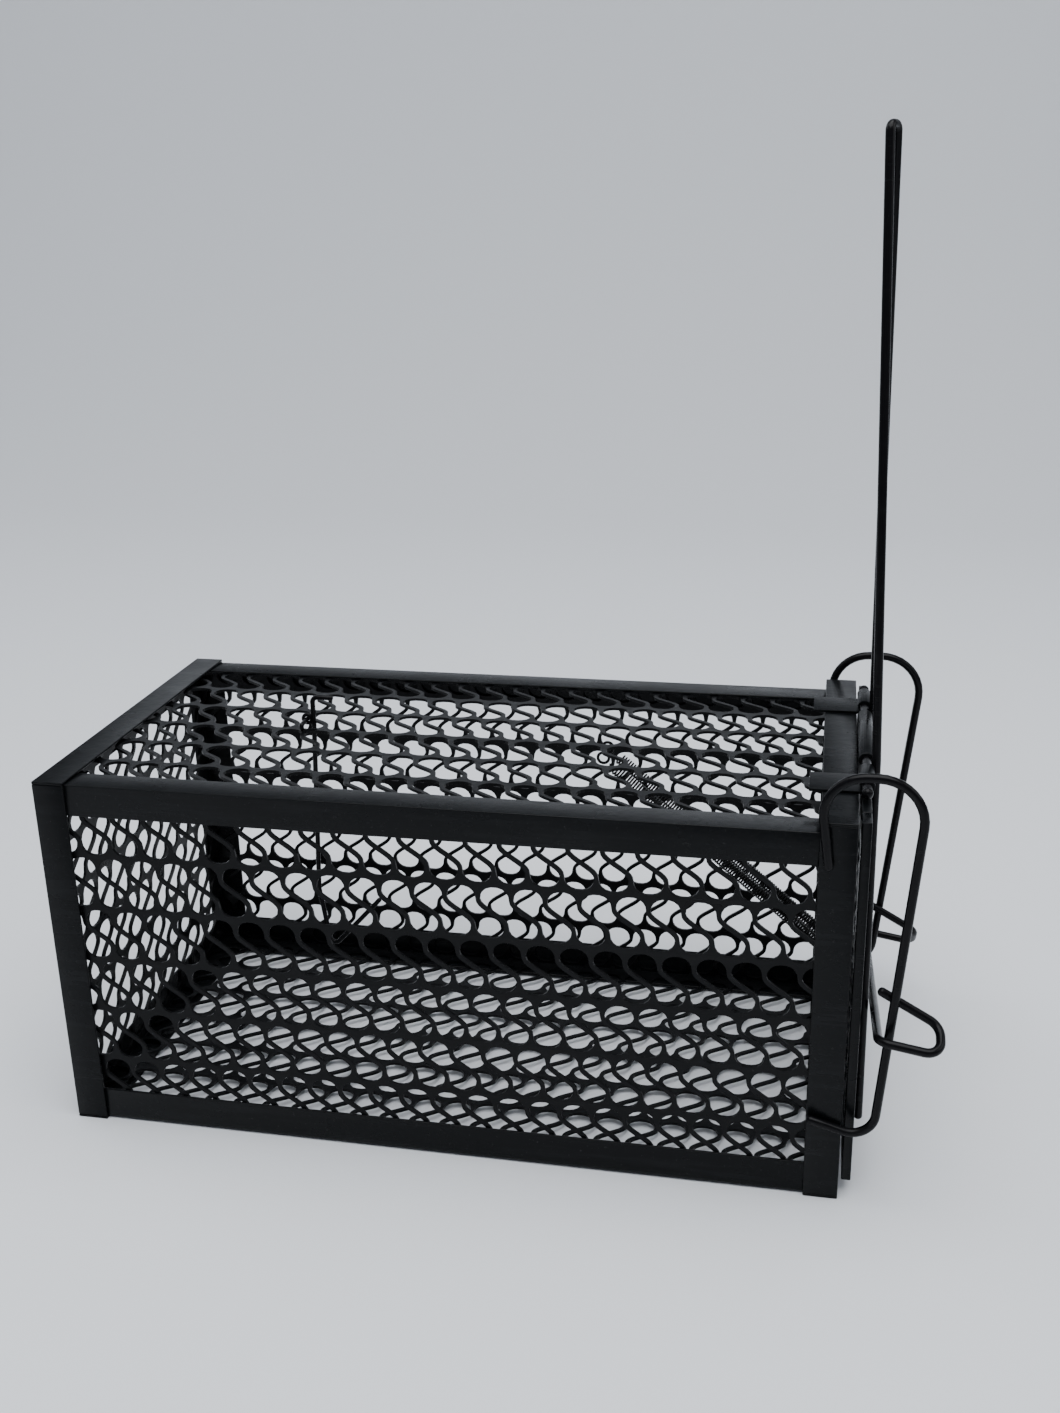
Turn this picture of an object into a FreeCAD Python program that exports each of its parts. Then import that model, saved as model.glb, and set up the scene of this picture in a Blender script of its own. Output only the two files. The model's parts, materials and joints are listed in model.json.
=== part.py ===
import FreeCAD, Part
import math
import os
from FreeCAD import Vector

# Live catch trap: a box cage of bent sheet angles with expanded mesh walls,
# a top-hinged door with a long wire lever, a gravity lock bar on two wire
# guides, two closing springs and a bait trigger.
# Millimetres. X runs from the rear wall to the door, Y from the near side to
# the far side, Z up. The origin is the middle of the whole trap's footprint.

# cage
LENGTH = 265.0
WIDTH = 134.0
HEIGHT = 129.0
FRONT_HEIGHT = 131.7
SHEET = 1.0
FLANGE = 11.0
MESH_SHEET = 1.0

# expanded mesh: one slanted opening per cell, rows half a cell apart
CELL = 10.85
ROW = 19.4
STRAND = 1.5
LOBE_SHIFT = 9.0
LOBE_LOW = 0.27
LOBE_HIGH = 0.74
BOND = 0.65
MESH_BORDER = 1.2
SMALLEST_HOLE = 8.0

# door and hinge
DOOR_GAP = 1.0
DOOR_THICK = 3.0
DOOR_HALF = 63.4
DOOR_BOTTOM = 5.0
DOOR_TOP = 130.9
HEM = 8.0
ROD_RADIUS = 1.5
ROD_REACH = 48.5
STRAP_CLEARANCE = 0.06
STRAP_SHEET = 0.9
STRAP_WIDTH = 14.0
STRAP_AT = 36.5
STRAP_START = 250.0
KNUCKLE_SHEET = 0.95

# wire work
WIRE = 2.9
TRIGGER_WIRE = 1.8
LEVER_TOP = 325.7
LEVER_STAND_OFF = 0.5
LEVER_LEAN = 5.2
LEVER_TWIST = 1.1
LEVER_FOOT = 14.0
LEVER_SPREAD = 42.0
LEVER_TIP_HALF = 2.5
BAR_MIDDLE_HEIGHT = 43.5
BAR_TILT = 15.6
BAR_INNER = 67.8
BAR_OUTER = 77.4
EAR_REACH = 18.5
EAR_RISE = 14.5
SPRING_RADIUS = 2.2
SPRING_SIDE = 5.0
PIVOT_X = 70.5
PIVOT_Z = 129.2
PIVOT_RADIUS = 0.8
TRIGGER_SIDE = 3.3

HALF = WIDTH / 2
BAR_GAP = LEVER_STAND_OFF + 0.3
OVERALL = LENGTH + DOOR_GAP + DOOR_THICK + WIRE + BAR_GAP + WIRE + EAR_REACH
X_MIDDLE = OVERALL / 2
HINGE_X = LENGTH + DOOR_GAP + DOOR_THICK / 2
HINGE_Z = FRONT_HEIGHT + STRAP_SHEET + ROD_RADIUS + STRAP_CLEARANCE
DOOR_IN = LENGTH + DOOR_GAP
DOOR_OUT = DOOR_IN + DOOR_THICK
LEVER_X = DOOR_OUT + WIRE / 2
BAR_X = DOOR_OUT + WIRE + BAR_GAP + WIRE / 2


def plate(x0, x1, y0, y1, z0, z1):
    """A flat block between two corners."""
    return Part.makeBox(x1 - x0, y1 - y0, z1 - z0, Vector(x0, y0, z0))


def joined(pieces):
    """One solid from touching pieces."""
    shape = pieces[0]
    for piece in pieces[1:]:
        shape = shape.fuse(piece)
    return shape.removeSplitter()


def mirrored(shape):
    """The same piece on the far side of the cage."""
    return shape.mirror(Vector(0, 0, 0), Vector(0, 1, 0))


def cylinder(start, end, radius):
    """A round bar between two points."""
    run = end.sub(start)
    return Part.makeCylinder(radius, run.Length, start, run)


def corner_arc(before, corner, after, radius):
    """Ends of the arc that rounds a corner, and a point in its middle."""
    back = before.sub(corner)
    ahead = after.sub(corner)
    half = back.getAngle(ahead) / 2
    reach = min(radius / math.tan(half), 0.47 * back.Length, 0.47 * ahead.Length)
    real_radius = reach * math.tan(half)
    back.normalize()
    ahead.normalize()
    middle = back.add(ahead)
    middle.normalize()
    depth = real_radius / math.sin(half) - real_radius
    return corner + back * reach, corner + middle * depth, corner + ahead * reach


def bent_wire(points, diameter, radii):
    """Round wire along straight runs joined by tangent bends, one radius a bend."""
    edges = []
    start = points[0]
    for i in range(1, len(points) - 1):
        first, middle, last = corner_arc(points[i - 1], points[i], points[i + 1], radii[i - 1])
        edges.append(Part.makeLine(start, first))
        edges.append(Part.Arc(first, middle, last).toShape())
        start = last
    edges.append(Part.makeLine(start, points[-1]))
    path = Part.Wire(edges)
    circle = Part.makeCircle(diameter / 2, points[0], points[1].sub(points[0]))
    return path.makePipeShell([Part.Wire([circle])], True, False)


# ---------------------------------------------------------------- cage frame


def rear_frame():
    """Two posts and two cross bars of the closed rear end."""
    inner = HALF - FLANGE
    post = joined([
        plate(0, FLANGE, -HALF, -HALF + SHEET, SHEET, HEIGHT - SHEET),
        plate(0, SHEET, -HALF + SHEET, -inner, SHEET, HEIGHT - SHEET),
    ])
    top = joined([
        plate(0, FLANGE, -HALF, HALF, HEIGHT - SHEET, HEIGHT),
        plate(0, SHEET, -inner, inner, HEIGHT - FLANGE, HEIGHT - SHEET),
    ])
    bottom = joined([
        plate(0, FLANGE, -HALF, HALF, 0, SHEET),
        plate(0, SHEET, -inner, inner, SHEET, FLANGE),
    ])
    return {
        "rear_post_near": post,
        "rear_post_far": mirrored(post),
        "rear_top_bar": top,
        "rear_bottom_bar": bottom,
    }


def front_frame():
    """Two posts, the hinge bar and the sill round the doorway."""
    inner = HALF - FLANGE
    back = LENGTH - FLANGE
    post_top = FRONT_HEIGHT - SHEET
    post = joined([
        plate(back, LENGTH, -HALF, -HALF + SHEET, SHEET, post_top),
        plate(LENGTH - SHEET, LENGTH, -HALF + SHEET, -inner, SHEET, post_top),
    ])
    top = joined([
        plate(back, LENGTH, -HALF, HALF, post_top, FRONT_HEIGHT),
        plate(LENGTH - SHEET, LENGTH, -inner, inner, FRONT_HEIGHT - FLANGE, post_top),
    ])
    sill = joined([
        plate(back, LENGTH, -HALF, HALF, 0, SHEET),
        plate(LENGTH - SHEET, LENGTH, -inner, inner, SHEET, FLANGE),
    ])
    return {
        "front_post_near": post,
        "front_post_far": mirrored(post),
        "front_top_bar": top,
        "front_sill": sill,
    }


def long_rails():
    """Four long angles, one sheet thickness inside the end frames."""
    face = HALF - SHEET
    high = HEIGHT - SHEET
    x0 = SHEET
    x1 = LENGTH - SHEET
    top = joined([
        plate(x0, x1, -face, -face + SHEET, high - FLANGE, high),
        plate(x0, x1, -face, -face + FLANGE, high - SHEET, high),
    ])
    bottom = joined([
        plate(x0, x1, -face, -face + SHEET, SHEET, SHEET + FLANGE),
        plate(x0, x1, -face, -face + FLANGE, SHEET, 2 * SHEET),
    ])
    return {
        "top_rail_near": top,
        "top_rail_far": mirrored(top),
        "bottom_rail_near": bottom,
        "bottom_rail_far": mirrored(bottom),
    }


# ---------------------------------------------------------------- mesh


def opening_outline():
    """One slanted opening of the mesh, from its upper lobe down to its lower lobe."""
    half = (CELL - STRAND) / 2
    low = LOBE_LOW * ROW
    high = LOBE_HIGH * ROW
    return [
        (-half * 0.55, BOND),
        (half * 0.55, BOND),
        (half, low),
        (LOBE_SHIFT + half, high - 1.0),
        (LOBE_SHIFT + half * 0.55, ROW - BOND),
        (LOBE_SHIFT - half * 0.55, ROW - BOND),
        (LOBE_SHIFT - half, high),
        (-half, low + 1.0),
    ]


def cut_back(points, axis, limit, sign):
    """The part of an outline on one side of a line across u (axis 0) or v (axis 1)."""
    kept = []
    for here, there in zip(points, points[1:] + points[:1]):
        inside = sign * (here[axis] - limit) <= 0
        if inside:
            kept.append(here)
        if inside != (sign * (there[axis] - limit) <= 0):
            share = (limit - here[axis]) / (there[axis] - here[axis])
            kept.append(tuple(a + share * (b - a) for a, b in zip(here, there)))
    return kept


def area(points):
    """Signed area of a closed outline."""
    total = 0.0
    for (x0, y0), (x1, y1) in zip(points, points[1:] + points[:1]):
        total += (x0 * y1 - x1 * y0) / 2
    return total


def mesh_face(width, height, phase, first_row):
    """Flat mesh in its own plane: u along the rows, v down from the upper edge."""
    def ring(points):
        corners = [Vector(u, v, 0) for u, v in points]
        return Part.Wire(Part.makePolygon(corners + corners[:1]))

    borders = [
        (0, MESH_BORDER, -1),
        (0, width - MESH_BORDER, 1),
        (1, MESH_BORDER, -1),
        (1, height - MESH_BORDER, 1),
    ]
    wires = [ring([(0, 0), (width, 0), (width, height), (0, height)])]
    row_step = LOBE_SHIFT + CELL / 2
    for row in range(-1, int(height / ROW) + 2):
        v0 = first_row + row * ROW
        u0 = (phase + row * row_step) % CELL - 3 * CELL
        for column in range(int(width / CELL) + 5):
            outline = [(u0 + column * CELL + u, v0 + v) for u, v in opening_outline()]
            for border in borders:
                outline = cut_back(outline, *border)
            if outline and abs(area(outline)) > SMALLEST_HOLE:
                wires.append(ring(outline))
    return Part.Face(wires, "Part::FaceMakerBullseye")


def mesh_panel(width, height, phase, first_row, origin, along, down):
    """A mesh sheet laid in place, its thickness on the side of along x down."""
    sheet = mesh_face(width, height, phase, first_row).extrude(Vector(0, 0, MESH_SHEET))
    normal = along.cross(down)
    turn = FreeCAD.Matrix(
        along.x, down.x, normal.x, origin.x,
        along.y, down.y, normal.y, origin.y,
        along.z, down.z, normal.z, origin.z,
        0, 0, 0, 1)
    return sheet.transformGeometry(turn)


def cage_mesh():
    """The five mesh walls, inside the angles."""
    t = MESH_SHEET
    wall = HALF - 2 * SHEET
    length = LENGTH - 2 * SHEET - t
    x0 = SHEET + t
    high = HEIGHT - 2 * SHEET
    tall = high - 2 * SHEET
    x_axis, y_axis, z_axis = Vector(1, 0, 0), Vector(0, 1, 0), Vector(0, 0, 1)
    side = wall - t
    near = mesh_panel(length, tall, 74.5 - 2.5 * CELL - 2 * LOBE_SHIFT, 5.3,
                      Vector(x0, -wall, high), x_axis, -z_axis)
    far = mesh_panel(length, tall, 71.0, 8.2, Vector(x0 + length, wall, high), -x_axis, -z_axis)
    top = mesh_panel(length, 2 * side, 122.4 - 1.5 * CELL - LOBE_SHIFT, 7.3,
                     Vector(x0, side, high), x_axis, -y_axis)
    bottom = mesh_panel(length, 2 * side, 3.0, 6.0, Vector(x0, -side, 2 * SHEET), x_axis, y_axis)
    rear = mesh_panel(2 * side, tall - 2 * t, 2.0, 5.3, Vector(SHEET, side, high - t), -y_axis, -z_axis)
    return {
        "mesh_near": near,
        "mesh_far": far,
        "mesh_top": top,
        "mesh_bottom": bottom,
        "mesh_rear": rear,
    }


# ---------------------------------------------------------------- door


def strap():
    """Hinge strap: flat on the top bar, then curled round the hinge rod."""
    bore = ROD_RADIUS + STRAP_CLEARANCE
    outer = bore + STRAP_SHEET
    low = -STRAP_AT - STRAP_WIDTH / 2
    high = low + STRAP_WIDTH
    flat = plate(STRAP_START, HINGE_X, low, high, FRONT_HEIGHT, FRONT_HEIGHT + STRAP_SHEET)
    centre = Vector(HINGE_X, low, HINGE_Z)
    curl = Part.makeCylinder(outer, STRAP_WIDTH, centre, Vector(0, 1, 0))
    curl = curl.cut(Part.makeCylinder(bore, STRAP_WIDTH, centre, Vector(0, 1, 0)))
    mouth = plate(HINGE_X - outer, HINGE_X - 0.9, low, high,
                  FRONT_HEIGHT + STRAP_SHEET + 0.35, HINGE_Z + 0.5)
    return joined([flat, curl.cut(mouth)])


def hinge_rod():
    """Rod welded in the door's knuckle, with a ball at each end."""
    reach = ROD_REACH
    rod = cylinder(Vector(HINGE_X, -reach, HINGE_Z), Vector(HINGE_X, reach, HINGE_Z), ROD_RADIUS)
    pieces = [rod]
    for side in (-1, 1):
        pieces.append(Part.makeSphere(ROD_RADIUS + 0.3, Vector(HINGE_X, side * reach, HINGE_Z)))
    return joined(pieces)


def hem(y0, y1, z0, z1, slot):
    """Folded edge strip of the door, slotted for the mesh."""
    return plate(DOOR_IN, DOOR_OUT, y0, y1, z0, z1).cut(slot)


def knuckle(y0, y1):
    """Rolled sheet round the hinge rod, with a tongue down to the top hem."""
    length = y1 - y0
    outer = ROD_RADIUS + KNUCKLE_SHEET
    centre = Vector(HINGE_X, y0, HINGE_Z)
    roll = Part.makeCylinder(outer, length, centre, Vector(0, 1, 0))
    tongue = plate(DOOR_IN + 0.6, DOOR_OUT - 0.6, y0, y1, DOOR_TOP - 1, HINGE_Z)
    bore = Part.makeCylinder(ROD_RADIUS, length, centre, Vector(0, 1, 0))
    return roll.fuse(tongue).cut(bore)


def door():
    """Hemmed mesh door hanging on the rod."""
    skin = (DOOR_THICK - MESH_SHEET) / 2
    edge = 2.0
    low, high = DOOR_BOTTOM + edge, DOOR_TOP - edge
    half = DOOR_HALF - edge
    slot = plate(DOOR_IN + skin, DOOR_OUT - skin, -half, half, low, high)
    side = hem(-DOOR_HALF, -DOOR_HALF + HEM, DOOR_BOTTOM, DOOR_TOP, slot)
    inner = DOOR_HALF - HEM
    top = hem(-inner, inner, DOOR_TOP - HEM, DOOR_TOP, slot)
    middle = STRAP_AT - STRAP_WIDTH / 2 - 8.5
    top = joined([top, knuckle(-middle, middle)])
    mesh = mesh_panel(2 * half, high - low, 4.0, 2.0,
                      Vector(DOOR_IN + skin, -half, high), Vector(0, 1, 0), Vector(0, 0, -1))
    mesh.translate(Vector(MESH_SHEET, 0, 0))
    return {
        "door_edge_near": side,
        "door_edge_far": mirrored(side),
        "door_edge_top": top,
        "door_edge_bottom": hem(-inner, inner, DOOR_BOTTOM, DOOR_BOTTOM + HEM, slot),
        "door_mesh": mesh,
    }


def lever():
    """Long V of wire up from the door's face, closed by a tight bend at the tip."""
    lean = LEVER_X - LEVER_LEAN
    foot = LEVER_X + LEVER_STAND_OFF
    tip = LEVER_TOP - WIRE / 2
    bend = HINGE_Z + 1
    slope = (LEVER_SPREAD - LEVER_TIP_HALF) / (tip - LEVER_FOOT)
    at_bend = LEVER_SPREAD - slope * (bend - LEVER_FOOT)
    points = [
        Vector(foot, -LEVER_SPREAD, LEVER_FOOT),
        Vector(LEVER_X, -at_bend, bend),
        Vector(lean - LEVER_TWIST, -LEVER_TIP_HALF, tip),
        Vector(lean + LEVER_TWIST, LEVER_TIP_HALF, tip),
        Vector(LEVER_X, at_bend, bend),
        Vector(foot, LEVER_SPREAD, LEVER_FOOT),
    ]
    return bent_wire(points, WIRE, [20, 2.3, 2.3, 20])


# ---------------------------------------------------------------- wire work


def guide_near():
    """Guide wire beside the near post: over the hinge, down past the door and back."""
    side = -HALF - WIRE / 2
    outline = [(257.0, 117.0), (253.0, 147.2), (284.6, 147.2), (274.4, 24.5), (254.0, 30.5)]
    points = [Vector(x, side, z) for x, z in outline]
    return bent_wire(points, WIRE, [14, 14, 10])


def guide_far():
    """The far guide, bent by hand to a lower and wider arch."""
    side = HALF + WIRE / 2
    outline = [(257.0, 111.0), (256.0, 141.1), (289.8, 141.1), (276.2, 11.0), (254.0, 16.0)]
    points = [Vector(x, side, z) for x, z in outline]
    return bent_wire(points, WIRE, [15, 15, 10])


def lock_bar():
    """Cross bar with an ear round each guide, dropped lower at the far side."""
    end_x = BAR_X + EAR_REACH
    level = BAR_MIDDLE_HEIGHT
    upright = EAR_RISE * math.tan(math.radians(BAR_TILT))

    def ear(side):
        return [
            Vector(BAR_X - 0.5, side * BAR_INNER - upright, level + EAR_RISE),
            Vector(end_x, side * BAR_INNER - upright * 4.0 / EAR_RISE, level + 4.0),
            Vector(end_x, side * BAR_OUTER, level - 2.8),
            Vector(BAR_X, side * BAR_OUTER, level),
        ]

    points = ear(-1) + ear(1)[::-1]
    bar = bent_wire(points, WIRE, [4.6, 4.6, 4.0, 4.0, 4.6, 4.6])
    bar.rotate(Vector(0, 0, BAR_MIDDLE_HEIGHT), Vector(1, 0, 0), -BAR_TILT)
    return bar


def spring(side):
    """Closing spring as its plain outer shape, with a hook at each end."""
    top = Vector(182.0, side, 121.6)
    foot = Vector(263.0, side, 52.0)
    run = foot.sub(top)
    run.normalize()
    body = cylinder(top + run * 3.2, foot - run * 3.2, SPRING_RADIUS)
    core = cylinder(top + run * 0.6, foot - run * 0.6, 0.5)
    return joined([body, core])


def spring_anchors():
    """Rings under the top mesh that hold the springs' upper hooks."""
    level = HEIGHT - 3 * SHEET - 2.4
    rings = []
    for side in (-SPRING_SIDE, SPRING_SIDE):
        rings.append(Part.makeTorus(1.9, 0.5, Vector(180.0, side, level), Vector(0, 1, 0)))
    return Part.makeCompound(rings)


def door_spring_eyes():
    """Rings on the door's inner face that hold the springs' lower hooks."""
    depth = DOOR_IN + (DOOR_THICK - MESH_SHEET) / 2 - 2.4
    rings = []
    for side in (-SPRING_SIDE, SPRING_SIDE):
        rings.append(Part.makeTorus(1.9, 0.5, Vector(depth, side, 50.0), Vector(0, 1, 0)))
    return Part.makeCompound(rings)


def trigger():
    """Catch for the lever tip, pivot eye and bait hook in one wire."""
    outline = [(80.0, 137.6), (72.8, 137.6), (72.8, 127.0), (70.0, 61.0), (73.6, 36.0), (93.5, 58.0)]
    points = [Vector(x, TRIGGER_SIDE, z) for x, z in outline]
    wire = bent_wire(points, TRIGGER_WIRE, [2.0, 8, 12, 2.2])
    eye_radius = PIVOT_RADIUS + 0.1 + 0.7
    eye = Part.makeTorus(eye_radius, 0.7, Vector(PIVOT_X, TRIGGER_SIDE, PIVOT_Z), Vector(0, 1, 0))
    return joined([wire, eye])


def trigger_pivot():
    """Short staple over the top mesh that the trigger turns on."""
    top = HEIGHT - 2 * SHEET
    reach = 6.5
    points = [
        Vector(PIVOT_X, TRIGGER_SIDE - reach, top),
        Vector(PIVOT_X, TRIGGER_SIDE - reach, PIVOT_Z),
        Vector(PIVOT_X, TRIGGER_SIDE + reach, PIVOT_Z),
        Vector(PIVOT_X, TRIGGER_SIDE + reach, top),
    ]
    return bent_wire(points, 2 * PIVOT_RADIUS, [1.0, 1.0])


def all_nodes():
    """Every node of the trap by name."""
    near_strap = strap()
    nodes = {}
    nodes.update(rear_frame())
    nodes.update(front_frame())
    nodes.update(long_rails())
    nodes.update(cage_mesh())
    nodes.update(door())
    nodes["hinge_strap_near"] = near_strap
    nodes["hinge_strap_far"] = mirrored(near_strap)
    nodes["hinge_rod"] = hinge_rod()
    nodes["lever"] = lever()
    nodes["guide_near"] = guide_near()
    nodes["guide_far"] = guide_far()
    nodes["lock_bar"] = lock_bar()
    nodes["spring_near"] = spring(-SPRING_SIDE)
    nodes["spring_far"] = spring(SPRING_SIDE)
    nodes["spring_anchors"] = spring_anchors()
    nodes["door_spring_eyes"] = door_spring_eyes()
    nodes["trigger"] = trigger()
    nodes["trigger_pivot"] = trigger_pivot()
    return nodes


os.makedirs("parts", exist_ok=True)
for name, shape in all_nodes().items():
    shape.translate(Vector(-X_MIDDLE, 0, 0))
    shape.exportStep("parts/" + name + ".step")
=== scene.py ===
import json
import math

import bmesh
import bpy
from mathutils import Matrix, Quaternion, Vector

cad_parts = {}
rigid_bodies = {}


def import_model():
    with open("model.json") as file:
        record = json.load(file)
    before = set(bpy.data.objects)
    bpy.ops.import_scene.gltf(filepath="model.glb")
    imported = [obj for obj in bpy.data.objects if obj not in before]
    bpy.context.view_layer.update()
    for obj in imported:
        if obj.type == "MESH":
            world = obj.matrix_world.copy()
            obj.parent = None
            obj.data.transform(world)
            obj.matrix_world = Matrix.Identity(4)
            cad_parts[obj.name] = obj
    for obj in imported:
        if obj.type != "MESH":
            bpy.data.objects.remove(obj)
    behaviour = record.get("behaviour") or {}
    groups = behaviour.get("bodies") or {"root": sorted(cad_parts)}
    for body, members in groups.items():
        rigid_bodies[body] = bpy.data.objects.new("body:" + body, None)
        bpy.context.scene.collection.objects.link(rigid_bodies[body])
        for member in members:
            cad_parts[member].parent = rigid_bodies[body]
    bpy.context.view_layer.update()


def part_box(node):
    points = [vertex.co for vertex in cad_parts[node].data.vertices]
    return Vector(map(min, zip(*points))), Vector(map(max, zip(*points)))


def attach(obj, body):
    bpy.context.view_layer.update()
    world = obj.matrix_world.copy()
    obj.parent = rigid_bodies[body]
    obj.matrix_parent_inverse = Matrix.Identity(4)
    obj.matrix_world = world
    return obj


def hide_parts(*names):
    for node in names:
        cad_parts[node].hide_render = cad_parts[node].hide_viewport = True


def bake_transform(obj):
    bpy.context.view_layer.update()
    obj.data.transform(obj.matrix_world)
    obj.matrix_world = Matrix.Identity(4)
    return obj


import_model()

bl_info = {
    "name": "Live Catch Trap",
    "version": (1, 0, 0),
    "blender": (4, 5, 0),
    "location": "View3D > Sidebar > Trap",
    "description": "Enamelled sheet, expanded mesh and wire work of a live catch trap",
    "category": "Object",
}

MM = 0.001
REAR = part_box("rear_post_near")[0][0]
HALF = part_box("rear_post_far")[1][1]
HINGE = Vector([(a + b) / 2 for a, b in zip(*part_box("hinge_rod"))])
DOOR_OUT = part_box("door_edge_near")[1][0]

# expanded mesh: cell, row and the two lobes of an opening
CELL = 10.85 * MM
ROW = 19.4 * MM
LOBE_SHIFT = 9.0 * MM
LOBE_LOW = 0.27
LOBE_HIGH = 0.74
BOND = 0.6 * MM

# wire work
LEVER_LEAN = 5.2 * MM
LEVER_TWIST = 1.1 * MM
LEVER_STAND_OFF = 0.5 * MM
LEVER_SPREAD = 42.0 * MM
LEVER_TIP_HALF = 2.5 * MM
BAR_MIDDLE_HEIGHT = 43.5 * MM
BAR_TILT = math.radians(15.6)
BAR_INNER = 67.8 * MM
BAR_OUTER = 77.4 * MM
EAR_REACH = 18.5 * MM
EAR_RISE = 14.5 * MM
EAR_DROP = 4.0 * MM
SPRING_SIDE = 5.0 * MM
TRIGGER_SIDE = 3.3 * MM
PIVOT_X = 70.5
PIVOT_Z = 129.2

# outlines in millimetres from the rear wall and the floor
NEAR_GUIDE = ((257.0, 117.0), (253.0, 147.2), (284.6, 147.2), (274.4, 24.5), (254.0, 30.5))
NEAR_ARCH = 14
FAR_GUIDE = ((257.0, 111.0), (256.0, 141.1), (289.8, 141.1), (276.2, 11.0), (254.0, 16.0))
FAR_ARCH = 15
TRIGGER_OUTLINE = (
    (80.0, 137.6), (72.8, 137.6), (72.8, 127.0), (70.0, 61.0), (73.6, 36.0), (93.5, 58.0))
TRIGGER_BENDS = (2.0, 8, 12, 2.2)
SPRING_TOP = (182.0, 121.6)
SPRING_FOOT = (263.0, 52.0)

# finish
FACING_SHINE = 0.16
DUST_COLOUR = (0.10, 0.10, 0.10, 1)

SHEET_NODES = (
    "rear_post_near", "rear_post_far", "rear_top_bar", "rear_bottom_bar",
    "front_post_near", "front_post_far", "front_top_bar", "front_sill",
    "top_rail_near", "top_rail_far", "bottom_rail_near", "bottom_rail_far",
    "hinge_strap_near", "hinge_strap_far",
)
DOOR_SHEET_NODES = ("door_edge_near", "door_edge_far", "door_edge_top", "door_edge_bottom")


# ---------------------------------------------------------------- settings


class TrapSheetSettings(bpy.types.PropertyGroup):
    """Folded sheet angles, straps and door hems"""
    edge_round: bpy.props.FloatProperty(
        name="Edge round", description="Rounding of the folded edges",
        default=0.00032, unit="LENGTH")
    enamel: bpy.props.FloatVectorProperty(
        name="Sheet enamel", description="Colour of the dipped enamel on the sheet",
        default=(0.0030, 0.0034, 0.0038), size=3, subtype="COLOR")


class TrapMeshSettings(bpy.types.PropertyGroup):
    """Expanded mesh walls"""
    strand: bpy.props.FloatProperty(
        name="Strand width", description="Width of one strand of the mesh",
        default=0.00136, unit="LENGTH")
    edge_round: bpy.props.FloatProperty(
        name="Strand edge round", description="Rounding that the enamel gives the strands",
        default=0.00016, unit="LENGTH")
    enamel: bpy.props.FloatVectorProperty(
        name="Mesh enamel", description="Colour of the enamel on the mesh",
        default=(0.0028, 0.0030, 0.0034), size=3, subtype="COLOR")


class TrapWireSettings(bpy.types.PropertyGroup):
    """Lever, guides, lock bar, trigger and springs"""
    wire: bpy.props.FloatProperty(
        name="Wire diameter", description="Diameter of the lever, guides and lock bar",
        default=0.0029, unit="LENGTH")
    trigger_wire: bpy.props.FloatProperty(
        name="Trigger wire", description="Diameter of the trigger's wire",
        default=0.0018, unit="LENGTH")
    spring_wire: bpy.props.FloatProperty(
        name="Spring wire", description="Diameter of the springs' wire",
        default=0.00062, unit="LENGTH")
    spring_radius: bpy.props.FloatProperty(
        name="Spring radius", description="Radius at the middle of the spring's wire",
        default=0.00185, unit="LENGTH")
    spring_turns: bpy.props.IntProperty(
        name="Spring turns", description="Turns in each closing spring", default=100)
    enamel: bpy.props.FloatVectorProperty(
        name="Wire enamel", description="Colour of the enamel on the wire",
        default=(0.0036, 0.0034, 0.0040), size=3, subtype="COLOR")


class TrapStageSettings(bpy.types.PropertyGroup):
    """Floor, lights and camera"""
    floor: bpy.props.FloatVectorProperty(
        name="Floor colour", description="Colour of the pale floor",
        default=(0.74, 0.755, 0.78), size=3, subtype="COLOR")
    lens: bpy.props.FloatProperty(
        name="Lens", description="Focal length of the camera in millimetres", default=49.93)


# ---------------------------------------------------------------- node groups


def socket(group, name, in_out, kind, default=None):
    """One named socket on a node group."""
    made = group.interface.new_socket(name=name, in_out=in_out, socket_type=kind)
    if default is not None:
        made.default_value = default
    return made


def node(tree, kind, **values):
    """A node with its settings and constant inputs in one call."""
    made = tree.nodes.new(kind)
    for key, value in values.items():
        if hasattr(made, key):
            setattr(made, key, value)
        else:
            made.inputs[key].default_value = value
    return made


def math_node(tree, operation, first, second):
    """A math node fed by sockets or numbers."""
    made = tree.nodes.new("ShaderNodeMath")
    made.operation = operation
    for slot, source in zip(made.inputs, (first, second)):
        if isinstance(source, (int, float)):
            slot.default_value = source
        else:
            tree.links.new(source, slot)
    return made.outputs[0]


def colour_mix(tree, factor, first, second):
    """A colour mix fed by a factor, a colour socket and a colour socket or value."""
    mix = tree.nodes.new("ShaderNodeMix")
    mix.data_type = "RGBA"
    factor_in, first_in, second_in = (
        next(s for s in mix.inputs if s.enabled and s.name == name)
        for name in ("Factor", "A", "B"))
    tree.links.new(factor, factor_in)
    tree.links.new(first, first_in)
    if isinstance(second, tuple):
        second_in.default_value = second
    else:
        tree.links.new(second, second_in)
    return next(s for s in mix.outputs if s.enabled)


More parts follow.
